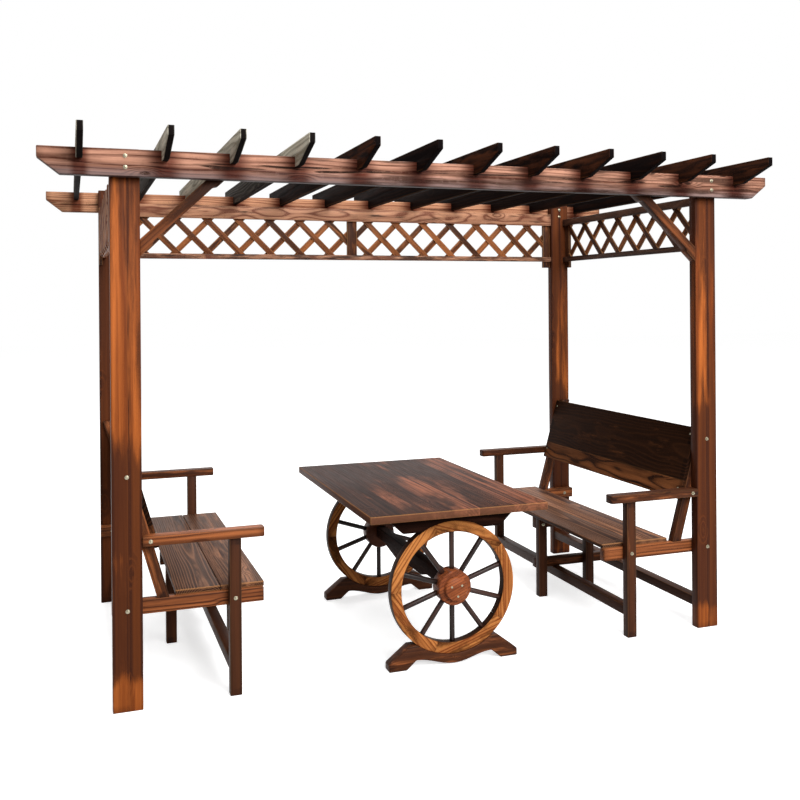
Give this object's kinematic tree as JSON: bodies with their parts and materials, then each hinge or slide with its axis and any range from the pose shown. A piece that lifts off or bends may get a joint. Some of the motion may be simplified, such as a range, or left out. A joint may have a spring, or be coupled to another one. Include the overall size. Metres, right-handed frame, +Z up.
{
  "type": "wooden pergola with benches and table",
  "caption": "Open timber pergola with notched rafters over two beams, lattice under the eaves, a bench built into each end and a wagon-wheel table between.",
  "frame": {"origin": "on the ground at the centre of the four posts", "axes": "+X along the beams, +Y from the front beam to the rear one, +Z up"},
  "size_m": [3.214, 1.986, 2.155],
  "materials": {
    "post_wood": "varnished scorched fir, orange brown",
    "beam_wood": "varnished scorched fir, pinkish brown",
    "rafter_wood": "deeply scorched fir, nearly black",
    "lattice_wood": "varnished scorched fir, mixed orange and dark brown",
    "bench_wood": "varnished scorched fir, dark brown",
    "table_wood": "glossy varnished scorched fir, dark brown",
    "rim_wood": "varnished light fir, orange",
    "spoke_wood": "varnished scorched fir, very dark",
    "hub_wood": "varnished turned fir, red brown"
  },
  "bodies": {
    "root": {"front_left_post": "post_wood", "front_right_post": "post_wood", "rear_left_post": "post_wood", "rear_right_post": "post_wood", "front_braces": "post_wood", "front_beam": "beam_wood", "rear_beam": "beam_wood", "rafter_01": "rafter_wood", "rafter_02": "rafter_wood", "rafter_03": "rafter_wood", "rafter_04": "rafter_wood", "rafter_05": "rafter_wood", "rafter_06": "rafter_wood", "rafter_07": "rafter_wood", "rafter_08": "rafter_wood", "rafter_09": "rafter_wood", "rafter_10": "rafter_wood", "rafter_11": "rafter_wood", "rafter_12": "rafter_wood", "rear_lattice": "lattice_wood", "left_lattice": "lattice_wood", "right_lattice": "lattice_wood", "left_bench_seat": "bench_wood", "left_bench_back": "bench_wood", "left_bench_back_stiles": "bench_wood", "left_bench_rails": "bench_wood", "left_bench_arms": "bench_wood", "left_bench_legs": "bench_wood", "left_bench_stretchers": "bench_wood", "right_bench_seat": "bench_wood", "right_bench_back": "bench_wood", "right_bench_back_stiles": "bench_wood", "right_bench_rails": "bench_wood", "right_bench_arms": "bench_wood", "right_bench_legs": "bench_wood", "right_bench_stretchers": "bench_wood", "table_top": "table_wood", "table_feet": "table_wood", "table_cleats": "spoke_wood", "table_axle": "spoke_wood", "front_wheel_rim": "rim_wood", "front_wheel_spokes": "spoke_wood", "rear_wheel_rim": "rim_wood", "rear_wheel_spokes": "spoke_wood", "wheel_hubs": "hub_wood"}
  },
  "joints": []
}
